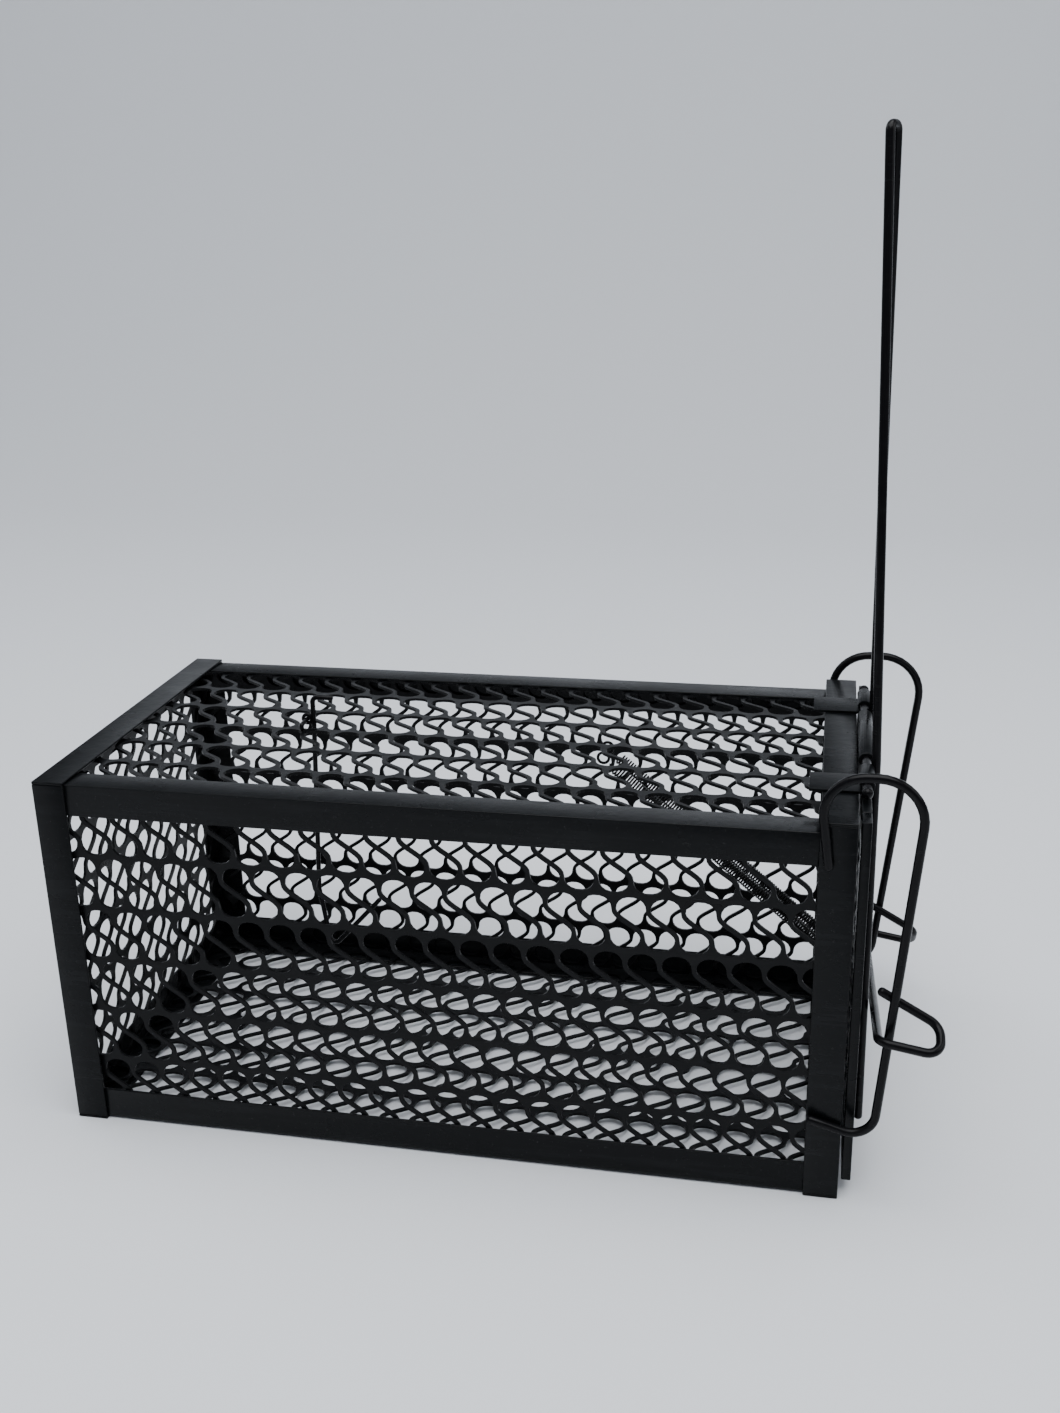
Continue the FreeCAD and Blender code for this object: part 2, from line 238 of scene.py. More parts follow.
def enamel_surface_group():
    """Enamel's unevenness: cloudy gloss, rubbed streaks, specks of dust and orange peel."""
    group = bpy.data.node_groups.new("enamel_surface", "ShaderNodeTree")
    socket(group, "Base", "INPUT", "NodeSocketColor", (0.01, 0.01, 0.01, 1))
    socket(group, "Rub", "INPUT", "NodeSocketColor", (0.03, 0.03, 0.032, 1))
    socket(group, "Gloss low", "INPUT", "NodeSocketFloat", 0.26)
    socket(group, "Gloss high", "INPUT", "NodeSocketFloat", 0.46)
    socket(group, "Peel", "INPUT", "NodeSocketFloat", 0.15)
    socket(group, "Dust", "INPUT", "NodeSocketFloat", 0.35)
    socket(group, "Color", "OUTPUT", "NodeSocketColor")
    socket(group, "Roughness", "OUTPUT", "NodeSocketFloat")
    socket(group, "Normal", "OUTPUT", "NodeSocketVector")
    source = group.nodes.new("NodeGroupInput")
    result = group.nodes.new("NodeGroupOutput")
    links = group.links
    place = group.nodes.new("ShaderNodeTexCoord").outputs["Object"]

    cloud = node(group, "ShaderNodeTexNoise", Scale=38.0, Detail=4.0, Roughness=0.6)
    streak_map = node(group, "ShaderNodeMapping")
    streak_map.inputs["Scale"].default_value = (22.0, 260.0, 260.0)
    streak = node(group, "ShaderNodeTexNoise", Scale=1.0, Detail=3.0, Roughness=0.55)
    speck = node(group, "ShaderNodeTexNoise", Scale=900.0, Detail=2.0, Roughness=0.7)
    peel = node(group, "ShaderNodeTexNoise", Scale=420.0, Detail=2.0, Roughness=0.5)
    sag = node(group, "ShaderNodeTexNoise", Scale=70.0, Detail=1.0, Roughness=0.4)
    links.new(place, streak_map.inputs["Vector"])
    links.new(streak_map.outputs[0], streak.inputs["Vector"])
    for texture in (cloud, speck, peel, sag):
        links.new(place, texture.inputs["Vector"])

    rubbed = node(group, "ShaderNodeMapRange")
    rubbed.inputs["From Min"].default_value = 0.52
    rubbed.inputs["From Max"].default_value = 0.78
    links.new(streak.outputs["Fac"], rubbed.inputs["Value"])
    dusty = node(group, "ShaderNodeMapRange")
    dusty.inputs["From Min"].default_value = 0.66
    dusty.inputs["From Max"].default_value = 0.80
    links.new(speck.outputs["Fac"], dusty.inputs["Value"])
    dust_amount = math_node(group, "MULTIPLY", dusty.outputs[0], source.outputs["Dust"])

    worn = colour_mix(group, rubbed.outputs[0], source.outputs["Base"], source.outputs["Rub"])
    dusted = colour_mix(group, dust_amount, worn, DUST_COLOUR)
    links.new(dusted, result.inputs["Color"])

    gloss = group.nodes.new("ShaderNodeMapRange")
    gloss.inputs["From Min"].default_value = 0.3
    gloss.inputs["From Max"].default_value = 0.7
    links.new(cloud.outputs["Fac"], gloss.inputs["Value"])
    links.new(source.outputs["Gloss low"], gloss.inputs["To Min"])
    links.new(source.outputs["Gloss high"], gloss.inputs["To Max"])
    rough = math_node(group, "MULTIPLY", rubbed.outputs[0], 0.08)
    total = math_node(group, "ADD", gloss.outputs[0], rough)
    links.new(total, result.inputs["Roughness"])

    sagging = math_node(group, "MULTIPLY", sag.outputs["Fac"], 3.0)
    waves = math_node(group, "ADD", peel.outputs["Fac"], sagging)
    bump = node(group, "ShaderNodeBump", Distance=0.0004)
    links.new(source.outputs["Peel"], bump.inputs["Strength"])
    links.new(waves, bump.inputs["Height"])
    links.new(bump.outputs[0], result.inputs["Normal"])
    return group


def enamel(name, group, base, rub, gloss, peel, dust, index):
    """A black enamel material with its own gloss and wear."""
    material = bpy.data.materials.new(name)
    material.use_nodes = True
    tree = material.node_tree
    shader = tree.nodes["Principled BSDF"]
    surface = tree.nodes.new("ShaderNodeGroup")
    surface.node_tree = group
    surface.inputs["Base"].default_value = (*base, 1)
    surface.inputs["Rub"].default_value = (*rub, 1)
    surface.inputs["Gloss low"].default_value = gloss[0]
    surface.inputs["Gloss high"].default_value = gloss[1]
    surface.inputs["Peel"].default_value = peel
    surface.inputs["Dust"].default_value = dust
    tree.links.new(surface.outputs["Color"], shader.inputs["Base Color"])
    tree.links.new(surface.outputs["Roughness"], shader.inputs["Roughness"])
    tree.links.new(surface.outputs["Normal"], shader.inputs["Normal"])
    shader.inputs["IOR"].default_value = index
    shader.inputs["Specular IOR Level"].default_value = FACING_SHINE
    material.diffuse_color = (*base, 1)
    return material


def enamel_materials(scene):
    """Every finish of the trap, built once."""
    if "sheet_finish" in bpy.data.materials:
        return
    group = enamel_surface_group()
    sheet = scene.trap_sheet.enamel
    mesh = scene.trap_mesh.enamel
    wire = scene.trap_wire.enamel
    enamel(
        "sheet_finish", group, sheet, (0.0080, 0.0086, 0.0094),
        (0.20, 0.36), 0.16, 0.22, 1.42)
    enamel(
        "mesh_finish", group, mesh, (0.0060, 0.0062, 0.0068),
        (0.24, 0.38), 0.18, 0.14, 1.42)
    enamel(
        "wire_finish", group, wire, (0.0050, 0.0050, 0.0055),
        (0.16, 0.28), 0.08, 0.10, 1.40)
    enamel(
        "spring_finish", group, (0.0030, 0.0030, 0.0032), (0.010, 0.010, 0.011),
        (0.22, 0.36), 0.05, 0.1, 1.38)


# ---------------------------------------------------------------- mesh helpers


def add_object(name, mesh, material):
    """A finished piece at the origin."""
    piece = bpy.data.objects.new(name, mesh)
    bpy.context.scene.collection.objects.link(piece)
    mesh.materials.clear()
    mesh.materials.append(bpy.data.materials[material])
    return piece


def evaluated_copy(source):
    """The plain mesh of an object with its modifiers applied."""
    depsgraph = bpy.context.evaluated_depsgraph_get()
    return bpy.data.meshes.new_from_object(source.evaluated_get(depsgraph))


def rounded_mesh(mesh, width, angle, segments):
    """A copy of a mesh with its sharp edges bevelled and its faces shaded smooth."""
    holder = bpy.data.objects.new("rounding", mesh)
    bpy.context.scene.collection.objects.link(holder)
    bevel = holder.modifiers.new("round", "BEVEL")
    bevel.width = width
    bevel.segments = segments
    bevel.limit_method = "ANGLE"
    bevel.angle_limit = math.radians(angle)
    bevel.harden_normals = True
    result = evaluated_copy(holder)
    bpy.data.objects.remove(holder)
    return result


def cad_copy(name):
    """The frame node's own shape, its doubles merged and flat areas made whole."""
    source = next(o for o in bpy.data.objects if o.name == name)
    work = bmesh.new()
    work.from_mesh(source.data)
    bmesh.ops.transform(work, matrix=source.matrix_world, verts=work.verts)
    bmesh.ops.remove_doubles(work, verts=work.verts, dist=1e-6)
    bmesh.ops.dissolve_limit(
        work, angle_limit=math.radians(0.5), verts=work.verts, edges=work.edges)
    bmesh.ops.recalc_face_normals(work, faces=work.faces)
    mesh = bpy.data.meshes.new(name)
    work.to_mesh(mesh)
    work.free()
    for polygon in mesh.polygons:
        polygon.use_smooth = True
    return mesh


def rounded_bend_points(points, radii, steps):
    """Straight runs with tangent arcs at the corners, as a list of points."""
    path = [points[0]]
    for i, radius in enumerate(radii, start=1):
        back = points[i - 1] - points[i]
        ahead = points[i + 1] - points[i]
        half = back.angle(ahead) / 2
        reach = min(radius / math.tan(half), 0.47 * back.length, 0.47 * ahead.length)
        real = reach * math.tan(half)
        back.normalize()
        ahead.normalize()
        middle = (back + ahead).normalized()
        centre = points[i] + middle * (real / math.sin(half))
        first = points[i] + back * reach - centre
        last = points[i] + ahead * reach - centre
        turn = first.rotation_difference(last)
        for k in range(steps + 1):
            path.append(centre + Quaternion().slerp(turn, k / steps) @ first)
    path.append(points[-1])
    return path


def spaced(path, gap):
    """The path with long straight runs divided."""
    result = [path[0]]
    for start, end in zip(path, path[1:]):
        parts = max(1, round((end - start).length / gap))
        for k in range(1, parts + 1):
            result.append(start.lerp(end, k / parts))
    return result


def tube(work, path, radius, sides=16):
    """A closed round tube along a path, with domed ends."""
    tangents = []
    for i in range(len(path)):
        before = path[max(i - 1, 0)]
        after = path[min(i + 1, len(path) - 1)]
        tangents.append((after - before).normalized())
    side = tangents[0].orthogonal().normalized()
    rings = []
    dome = [(math.cos(a), math.sin(a)) for a in map(math.radians, (80, 55, 28))]

    def ring(centre, across, up, size):
        corners = [2 * math.pi * k / sides for k in range(sides)]
        return [
            work.verts.new(centre + (across * math.cos(a) + up * math.sin(a)) * size)
            for a in corners]

    for i, centre in enumerate(path):
        if i:
            side = tangents[i - 1].rotation_difference(tangents[i]) @ side
        up = tangents[i].cross(side).normalized()
        if i == 0:
            for wide, long in dome:
                end = centre - tangents[0] * radius * long * 0.8
                rings.append(ring(end, side, up, radius * wide))
        rings.append(ring(centre, side, up, radius))
        if i == len(path) - 1:
            for wide, long in reversed(dome):
                end = centre + tangents[-1] * radius * long * 0.8
                rings.append(ring(end, side, up, radius * wide))
    for low, high in zip(rings, rings[1:]):
        for k in range(sides):
            nxt = (k + 1) % sides
            work.faces.new((low[k], low[nxt], high[nxt], high[k]))
    work.faces.new(list(reversed(rings[0])))
    work.faces.new(rings[-1])


def finish_mesh(work, name):
    """A smooth-shaded mesh from edited geometry."""
    bmesh.ops.recalc_face_normals(work, faces=work.faces)
    mesh = bpy.data.meshes.new(name)
    work.to_mesh(mesh)
    work.free()
    for polygon in mesh.polygons:
        polygon.use_smooth = True
    return mesh


def wire_piece(name, points, radii, diameter, material="wire_finish", steps=10):
    """One bent wire as a finished piece."""
    work = bmesh.new()
    dome = diameter * 0.4
    path = list(points)
    path[0] = path[0] + (path[1] - path[0]).normalized() * dome
    path[-1] = path[-1] + (path[-2] - path[-1]).normalized() * dome
    tube(work, spaced(rounded_bend_points(path, radii, steps), 6 * MM), diameter / 2)
    return add_object(name, finish_mesh(work, name), material)


def at(x, y, z):
    """A point in millimetres from the rear wall, the middle and the floor."""
    return Vector((REAR + x * MM, y, z * MM))


# ---------------------------------------------------------------- expanded mesh


def opening_outline(strand):
    """One slanted S-shaped opening: round upper lobe, slanted neck, round lower lobe."""
    half = (CELL - strand) / 2
    low, high = LOBE_LOW * ROW, LOBE_HIGH * ROW
    lobe_steps, neck_steps = 9, 9

    def neck(side, share):
        slope = LOBE_SHIFT / (high - low) * 6 * share * (1 - share)
        width = (CELL - strand * math.sqrt(1 + slope * slope)) / 2
        shift = LOBE_SHIFT * share * share * (3 - 2 * share)
        return (shift + side * width, low + (high - low) * share)

    def lobe(turn, middle, level, height):
        across, up = math.cos(turn), math.sin(turn)
        power = 0.88
        reach = half * math.copysign(abs(across) ** power, across)
        return (middle + reach, level - height * up ** power)

    points = []
    for k in range(lobe_steps):
        points.append(lobe(math.pi * (1 - k / lobe_steps), 0.0, low, low - BOND))
    for k in range(neck_steps):
        points.append(neck(1, k / neck_steps))
    for k in range(lobe_steps):
        points.append(lobe(math.pi * k / lobe_steps, LOBE_SHIFT, high, high - ROW + BOND))
    for k in range(neck_steps):
        points.append(neck(-1, 1 - k / neck_steps))
    return points


def opening_cutter(strand, depth):
    """The opening as a closed prism, taller than the sheet."""
    work = bmesh.new()
    outline = opening_outline(strand)
    bottom = [work.verts.new((u, v, -depth)) for u, v in outline]
    top = [work.verts.new((u, v, 2 * depth)) for u, v in outline]
    work.faces.new(list(reversed(bottom)))
    work.faces.new(top)
    for k in range(len(outline)):
        nxt = (k + 1) % len(outline)
        work.faces.new((bottom[k], bottom[nxt], top[nxt], top[k]))
    bmesh.ops.recalc_face_normals(work, faces=work.faces)
    mesh = bpy.data.meshes.new("opening_cutter")
    work.to_mesh(mesh)
    work.free()
    return mesh


def expanded_mesh_group():
    """Sheet with one opening repeated in rows, each row shifted from the last."""
    group = bpy.data.node_groups.new("expanded_mesh", "GeometryNodeTree")
    socket(group, "Opening", "INPUT", "NodeSocketGeometry")
    socket(group, "Width", "INPUT", "NodeSocketFloat", 0.26)
    socket(group, "Height", "INPUT", "NodeSocketFloat", 0.12)
    socket(group, "Thickness", "INPUT", "NodeSocketFloat", 0.001)
    socket(group, "Cell", "INPUT", "NodeSocketFloat", CELL)
    socket(group, "Row", "INPUT", "NodeSocketFloat", ROW)
    socket(group, "Row shift", "INPUT", "NodeSocketFloat", LOBE_SHIFT + CELL / 2)
    socket(group, "Phase", "INPUT", "NodeSocketFloat", 0.0)
    socket(group, "First row", "INPUT", "NodeSocketFloat", 0.0)
    socket(group, "Material", "INPUT", "NodeSocketMaterial")
    socket(group, "Mesh", "OUTPUT", "NodeSocketGeometry")
    source = group.nodes.new("NodeGroupInput").outputs
    result = group.nodes.new("NodeGroupOutput")
    links = group.links

    across = math_node(group, "DIVIDE", source["Width"], source["Cell"])
    columns = math_node(group, "ADD", across, 5.0)
    rows_down = math_node(group, "DIVIDE", source["Height"], source["Row"])
    rows = math_node(group, "ADD", rows_down, 3.0)
    count_u = math_node(group, "FLOOR", columns, 0.0)
    count_v = math_node(group, "FLOOR", rows, 0.0)
    grid = group.nodes.new("GeometryNodeMeshGrid")
    grid.inputs["Size X"].default_value = 1.0
    grid.inputs["Size Y"].default_value = 1.0
    links.new(count_u, grid.inputs["Vertices X"])
    links.new(count_v, grid.inputs["Vertices Y"])

    # each grid point's column and row, then its place on the slanted lattice
    index = group.nodes.new("GeometryNodeInputIndex").outputs[0]
    share = math_node(group, "DIVIDE", math_node(group, "ADD", index, 0.5), count_v)
    column = math_node(group, "FLOOR", share, 0.0)
    row = math_node(group, "SUBTRACT", index, math_node(group, "MULTIPLY", column, count_v))
    row = math_node(group, "SUBTRACT", row, 1.0)
    row_shift = math_node(group, "MULTIPLY", row, source["Row shift"])
    drift = math_node(group, "ADD", source["Phase"], row_shift)
    drift = math_node(group, "FLOORED_MODULO", drift, source["Cell"])
    start = math_node(group, "SUBTRACT", drift, math_node(group, "MULTIPLY", source["Cell"], 3.0))
    place_u = math_node(group, "ADD", start, math_node(group, "MULTIPLY", column, source["Cell"]))
    row_place = math_node(group, "MULTIPLY", row, source["Row"])
    place_v = math_node(group, "ADD", source["First row"], row_place)
    place = group.nodes.new("ShaderNodeCombineXYZ")
    links.new(place_u, place.inputs["X"])
    links.new(place_v, place.inputs["Y"])
    lattice = group.nodes.new("GeometryNodeSetPosition")
    links.new(grid.outputs["Mesh"], lattice.inputs["Geometry"])
    links.new(place.outputs[0], lattice.inputs["Position"])
    openings = group.nodes.new("GeometryNodeInstanceOnPoints")
    links.new(lattice.outputs[0], openings.inputs["Points"])
    links.new(source["Opening"], openings.inputs["Instance"])
    solid_openings = group.nodes.new("GeometryNodeRealizeInstances")
    links.new(openings.outputs[0], solid_openings.inputs[0])

    size = group.nodes.new("ShaderNodeCombineXYZ")
    links.new(source["Width"], size.inputs["X"])
    links.new(source["Height"], size.inputs["Y"])
    links.new(source["Thickness"], size.inputs["Z"])
    sheet = group.nodes.new("GeometryNodeMeshCube")
    links.new(size.outputs[0], sheet.inputs["Size"])
    middle = group.nodes.new("ShaderNodeVectorMath")
    middle.operation = "SCALE"
    middle.inputs["Scale"].default_value = 0.5
    links.new(size.outputs[0], middle.inputs[0])
    moved = group.nodes.new("GeometryNodeTransform")
    links.new(sheet.outputs["Mesh"], moved.inputs["Geometry"])
    links.new(middle.outputs[0], moved.inputs["Translation"])
    cut = group.nodes.new("GeometryNodeMeshBoolean")
    cut.operation = "DIFFERENCE"
    cut.solver = "EXACT"
    links.new(moved.outputs[0], cut.inputs["Mesh 1"])
    links.new(solid_openings.outputs[0], cut.inputs["Mesh 2"])
    realized = group.nodes.new("GeometryNodeRealizeInstances")
    links.new(cut.outputs["Mesh"], realized.inputs[0])
    painted = group.nodes.new("GeometryNodeSetMaterial")
    links.new(realized.outputs[0], painted.inputs["Geometry"])
    links.new(source["Material"], painted.inputs["Material"])
    links.new(painted.outputs[0], result.inputs[0])
    return group


def set_inputs(modifier, values):
    """Modifier inputs by their names, through their identifiers."""
    for item in modifier.node_group.interface.items_tree:
        if item.item_type == "SOCKET" and item.in_out == "INPUT" and item.name in values:
            modifier[item.identifier] = values[item.name]


def mesh_wall(name, node_name, phase, first_row, along, down, settings):
    """One expanded mesh wall that fills its frame node's box."""
    low, high = (Vector(corner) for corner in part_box(node_name))
    along, down = Vector(along), Vector(down)
    normal = along.cross(down)
    size = high - low
    width = abs(size.dot(along))
    height = abs(size.dot(down))
    thickness = abs(size.dot(normal))
    origin = Vector([a if step > 0 else b for a, b, step in zip(low, high, along + down + normal)])
    holder = bpy.data.objects.new("mesh_work", opening_cutter(settings.strand, thickness))
    bpy.context.scene.collection.objects.link(holder)
    modifier = holder.modifiers.new("expanded", "NODES")
    modifier.node_group = bpy.data.node_groups["expanded_mesh"]
    set_inputs(modifier, {
        "Width": width,
        "Height": height,
        "Thickness": thickness,
        "Phase": phase,
        "First row": first_row,
        "Material": bpy.data.materials["mesh_finish"],
    })
    flat = evaluated_copy(holder)
    bpy.data.objects.remove(holder)
    columns = [along, down, normal]
    rows = [[column[r] for column in columns] + [origin[r]] for r in range(3)]
    turn = Matrix(rows + [[0, 0, 0, 1]])
    flat.transform(turn)
    work = bmesh.new()
    work.from_mesh(flat)
    bmesh.ops.remove_doubles(work, verts=work.verts, dist=2e-6)
    bmesh.ops.dissolve_limit(
        work, angle_limit=math.radians(0.3), verts=work.verts, edges=work.edges)
    drop_offcuts(work)
    work.to_mesh(flat)
    work.free()
    mesh = rounded_mesh(flat, settings.edge_round, 50, 1)
    piece = add_object(name, mesh, "mesh_finish")
    return piece


def drop_offcuts(work):
    """Removes the loose scraps that cutting leaves along the sheet's edges."""
    work.verts.ensure_lookup_table()
    seen = set()
    groups = []
    for vert in work.verts:
        if vert in seen:
            continue
        stack, group = [vert], []
        seen.add(vert)
        while stack:
            here = stack.pop()
            group.append(here)
            for edge in here.link_edges:
                other = edge.other_vert(here)
                if other not in seen:
                    seen.add(other)
                    stack.append(other)
        groups.append(group)
    largest = max(groups, key=len)
    loose = [v for group in groups if group is not largest for v in group]
    bmesh.ops.delete(work, geom=loose, context="VERTS")


# ---------------------------------------------------------------- operators


class TRAP_OT_sheet_parts(bpy.types.Operator):
    """Builds the folded sheet angles, the hinge straps and the door hems"""
    bl_idname = "trap.sheet_parts"
    bl_label = "Sheet parts"

    def execute(self, context):
        enamel_materials(context.scene)
        width = context.scene.trap_sheet.edge_round
        for body, names in (("cage", SHEET_NODES), ("door", DOOR_SHEET_NODES)):
            for name in names:
                mesh = rounded_mesh(cad_copy(name), width, 35, 2)
                piece = add_object(name + "_enamelled", mesh, "sheet_finish")
                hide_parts(name)
                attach(piece, body)
        return {"FINISHED"}


class TRAP_OT_mesh_walls(bpy.types.Operator):
    """Builds the expanded mesh of the five walls and the door"""
    bl_idname = "trap.mesh_walls"
    bl_label = "Mesh walls"

    def execute(self, context):
        enamel_materials(context.scene)
        expanded_mesh_group()
        settings = context.scene.trap_mesh
        x_axis, y_axis, z_axis = Vector((1, 0, 0)), Vector((0, 1, 0)), Vector((0, 0, 1))
        walls = (
            ("mesh_near", "cage",
             74.5 * MM - 2.5 * CELL - 2 * LOBE_SHIFT, 5.3 * MM, x_axis, -z_axis),
            ("mesh_far", "cage", 71.0 * MM, 8.2 * MM, -x_axis, -z_axis),
            ("mesh_top", "cage", 122.4 * MM - 1.5 * CELL - LOBE_SHIFT, 7.3 * MM, x_axis, -y_axis),
            ("mesh_bottom", "cage", 3.0 * MM, 6.0 * MM, x_axis, y_axis),
            ("mesh_rear", "cage", 2.0 * MM, 5.3 * MM, -y_axis, -z_axis),
            ("door_mesh", "door", 4.0 * MM, 2.0 * MM, y_axis, -z_axis),
        )
        for name, body, phase, first_row, along, down in walls:
            piece = mesh_wall(name + "_expanded", name, phase, first_row, along, down, settings)
            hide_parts(name)
            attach(piece, body)
        return {"FINISHED"}


class TRAP_OT_wire_work(bpy.types.Operator):
    """Builds the lever, the guides, the lock bar, the trigger and the hinge rod"""
    bl_idname = "trap.wire_work"
    bl_label = "Wire work"

    def place(self, piece, name, body):
        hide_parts(name)
        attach(piece, body)

    def execute(self, context):
        enamel_materials(context.scene)
        settings = context.scene.trap_wire
        wire = settings.wire
        self.place(self.lever(wire), "lever", "door")
        guides = (
            ("guide_near", -1, NEAR_GUIDE, NEAR_ARCH),
            ("guide_far", 1, FAR_GUIDE, FAR_ARCH),
        )
        for name, side, outline, arch in guides:
            points = [at(x, side * (HALF + wire / 2), z) for x, z in outline]
            piece = wire_piece(name + "_wire", points, [arch * MM, arch * MM, 10 * MM], wire)
            self.place(piece, name, "cage")
        self.place(self.lock_bar(wire), "lock_bar", "lock_bar")
        self.place(self.trigger(settings.trigger_wire), "trigger", "trigger")
        self.place(self.trigger_staple(), "trigger_pivot", "cage")
        self.place(self.hinge_rod(), "hinge_rod", "door")
        for name, body in (("spring_anchors", "cage"), ("door_spring_eyes", "door")):
            piece = add_object(name + "_rings", cad_copy_smooth(name), "wire_finish")
            self.place(piece, name, body)
        return {"FINISHED"}

    def lever(self, wire):
        low, high = (Vector(corner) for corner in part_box("lever"))
        tip = high.z - wire / 2
        foot_z = 14.0 * MM
        face = DOOR_OUT + wire / 2
        lean = face - LEVER_LEAN
        bend = HINGE.z + 1 * MM
        slope = (LEVER_SPREAD - LEVER_TIP_HALF) / (tip - foot_z)
        at_bend = LEVER_SPREAD - slope * (bend - foot_z)
        near = [
            Vector((face + LEVER_STAND_OFF, -LEVER_SPREAD, foot_z)),
            Vector((face, -at_bend, bend)),
            Vector((lean - LEVER_TWIST, -LEVER_TIP_HALF, tip)),
        ]
        far = [
            Vector((lean + LEVER_TWIST, LEVER_TIP_HALF, tip)),
            Vector((face, at_bend, bend)),
            Vector((face + LEVER_STAND_OFF, LEVER_SPREAD, foot_z)),
        ]
        return wire_piece("lever_wire", near + far, [20 * MM, 2.3 * MM, 2.3 * MM, 20 * MM], wire)

    def lock_bar(self, wire):
        base = DOOR_OUT + wire * 1.5 + LEVER_STAND_OFF + 0.3 * MM
        end = base + EAR_REACH
        upright = EAR_RISE * math.tan(BAR_TILT)

        def ear(side):
            return [
                Vector((base - 0.5 * MM, side * BAR_INNER - upright, EAR_RISE)),
                Vector((end, side * BAR_INNER - upright * EAR_DROP / EAR_RISE, EAR_DROP)),
                Vector((end, side * BAR_OUTER, -2.8 * MM)),
                Vector((base, side * BAR_OUTER, 0)),
            ]

        tilt = Matrix.Rotation(-BAR_TILT, 3, "X")
        lift = Vector((0, 0, BAR_MIDDLE_HEIGHT))
        points = [tilt @ p + lift for p in ear(-1) + ear(1)[::-1]]
        radii = [r * MM for r in (4.6, 4.6, 4.0, 4.0, 4.6, 4.6)]
        return wire_piece("lock_bar_wire", points, radii, wire)

    def trigger(self, wire):
        points = [at(x, TRIGGER_SIDE, z) for x, z in TRIGGER_OUTLINE]
        work = bmesh.new()
        radii = [r * MM for r in TRIGGER_BENDS]
        tube(work, spaced(rounded_bend_points(points, radii, 8), 6 * MM), wire / 2, 12)
        centre = at(PIVOT_X, TRIGGER_SIDE, PIVOT_Z)
        eye = []
        for k in range(23):
            turn = 2 * math.pi * k / 24
            eye.append(centre + Vector((math.cos(turn), 0, math.sin(turn))) * 1.6 * MM)
        tube(work, eye, 0.7 * MM, 10)
        return add_object("trigger_wire", finish_mesh(work, "trigger_wire"), "wire_finish")

    def trigger_staple(self):
        reach = 6.5 * MM
        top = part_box("mesh_top")[1][2] / MM
        points = [
            at(PIVOT_X, TRIGGER_SIDE - reach, top),
            at(PIVOT_X, TRIGGER_SIDE - reach, PIVOT_Z),
            at(PIVOT_X, TRIGGER_SIDE + reach, PIVOT_Z),
            at(PIVOT_X, TRIGGER_SIDE + reach, top),
        ]
        return wire_piece("trigger_staple", points, [1 * MM, 1 * MM], 1.6 * MM)

    def hinge_rod(self):
        low, high = (Vector(corner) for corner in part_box("hinge_rod"))
        work = bmesh.new()
        ball = (high.z - low.z) / 2
        ends = [Vector((HINGE.x, low.y + ball, HINGE.z)), Vector((HINGE.x, high.y - ball, HINGE.z))]
        tube(work, spaced(ends, 8 * MM), 1.5 * MM, 20)
        for end in ends:
            bmesh.ops.create_uvsphere(
                work, u_segments=20, v_segments=12, radius=ball, matrix=Matrix.Translation(end))
        return add_object("hinge_rod_wire", finish_mesh(work, "hinge_rod_wire"), "wire_finish")


def cad_copy_smooth(name):
    """The frame node's round shape with its doubles merged."""
    source = next(o for o in bpy.data.objects if o.name == name)
    work = bmesh.new()
    work.from_mesh(source.data)
    bmesh.ops.transform(work, matrix=source.matrix_world, verts=work.verts)
    bmesh.ops.remove_doubles(work, verts=work.verts, dist=1e-6)
    return finish_mesh(work, name)


def spring_group():
    """A coil along Z, from its turns, radius, length and wire."""
    group = bpy.data.node_groups.new("closing_spring", "GeometryNodeTree")
    socket(group, "Geometry", "INPUT", "NodeSocketGeometry")
    socket(group, "Turns", "INPUT", "NodeSocketFloat", 60.0)
    socket(group, "Radius", "INPUT", "NodeSocketFloat", 0.0024)
    socket(group, "Length", "INPUT", "NodeSocketFloat", 0.09)
    socket(group, "Wire", "INPUT", "NodeSocketFloat", 0.0007)
    socket(group, "Material", "INPUT", "NodeSocketMaterial")
    socket(group, "Coil", "OUTPUT", "NodeSocketGeometry")
    source = group.nodes.new("NodeGroupInput").outputs
    result = group.nodes.new("NodeGroupOutput")
    links = group.links
    spiral = group.nodes.new("GeometryNodeCurveSpiral")
    spiral.inputs["Resolution"].default_value = 18
    links.new(source["Turns"], spiral.inputs["Rotations"])
    links.new(source["Radius"], spiral.inputs["Start Radius"])
    links.new(source["Radius"], spiral.inputs["End Radius"])
    links.new(source["Length"], spiral.inputs["Height"])
    section = group.nodes.new("GeometryNodeCurvePrimitiveCircle")
    section.inputs["Resolution"].default_value = 8
    links.new(math_node(group, "DIVIDE", source["Wire"], 2.0), section.inputs["Radius"])
    coil = group.nodes.new("GeometryNodeCurveToMesh")
    coil.inputs["Fill Caps"].default_value = True
    links.new(spiral.outputs["Curve"], coil.inputs["Curve"])
    links.new(section.outputs["Curve"], coil.inputs["Profile Curve"])
    smooth = group.nodes.new("GeometryNodeSetShadeSmooth")
    links.new(coil.outputs[0], smooth.inputs["Geometry"])
    realized = group.nodes.new("GeometryNodeRealizeInstances")
    links.new(smooth.outputs[0], realized.inputs[0])
    painted = group.nodes.new("GeometryNodeSetMaterial")
    links.new(realized.outputs[0], painted.inputs["Geometry"])
    links.new(source["Material"], painted.inputs["Material"])
    links.new(painted.outputs[0], result.inputs[0])
    return group


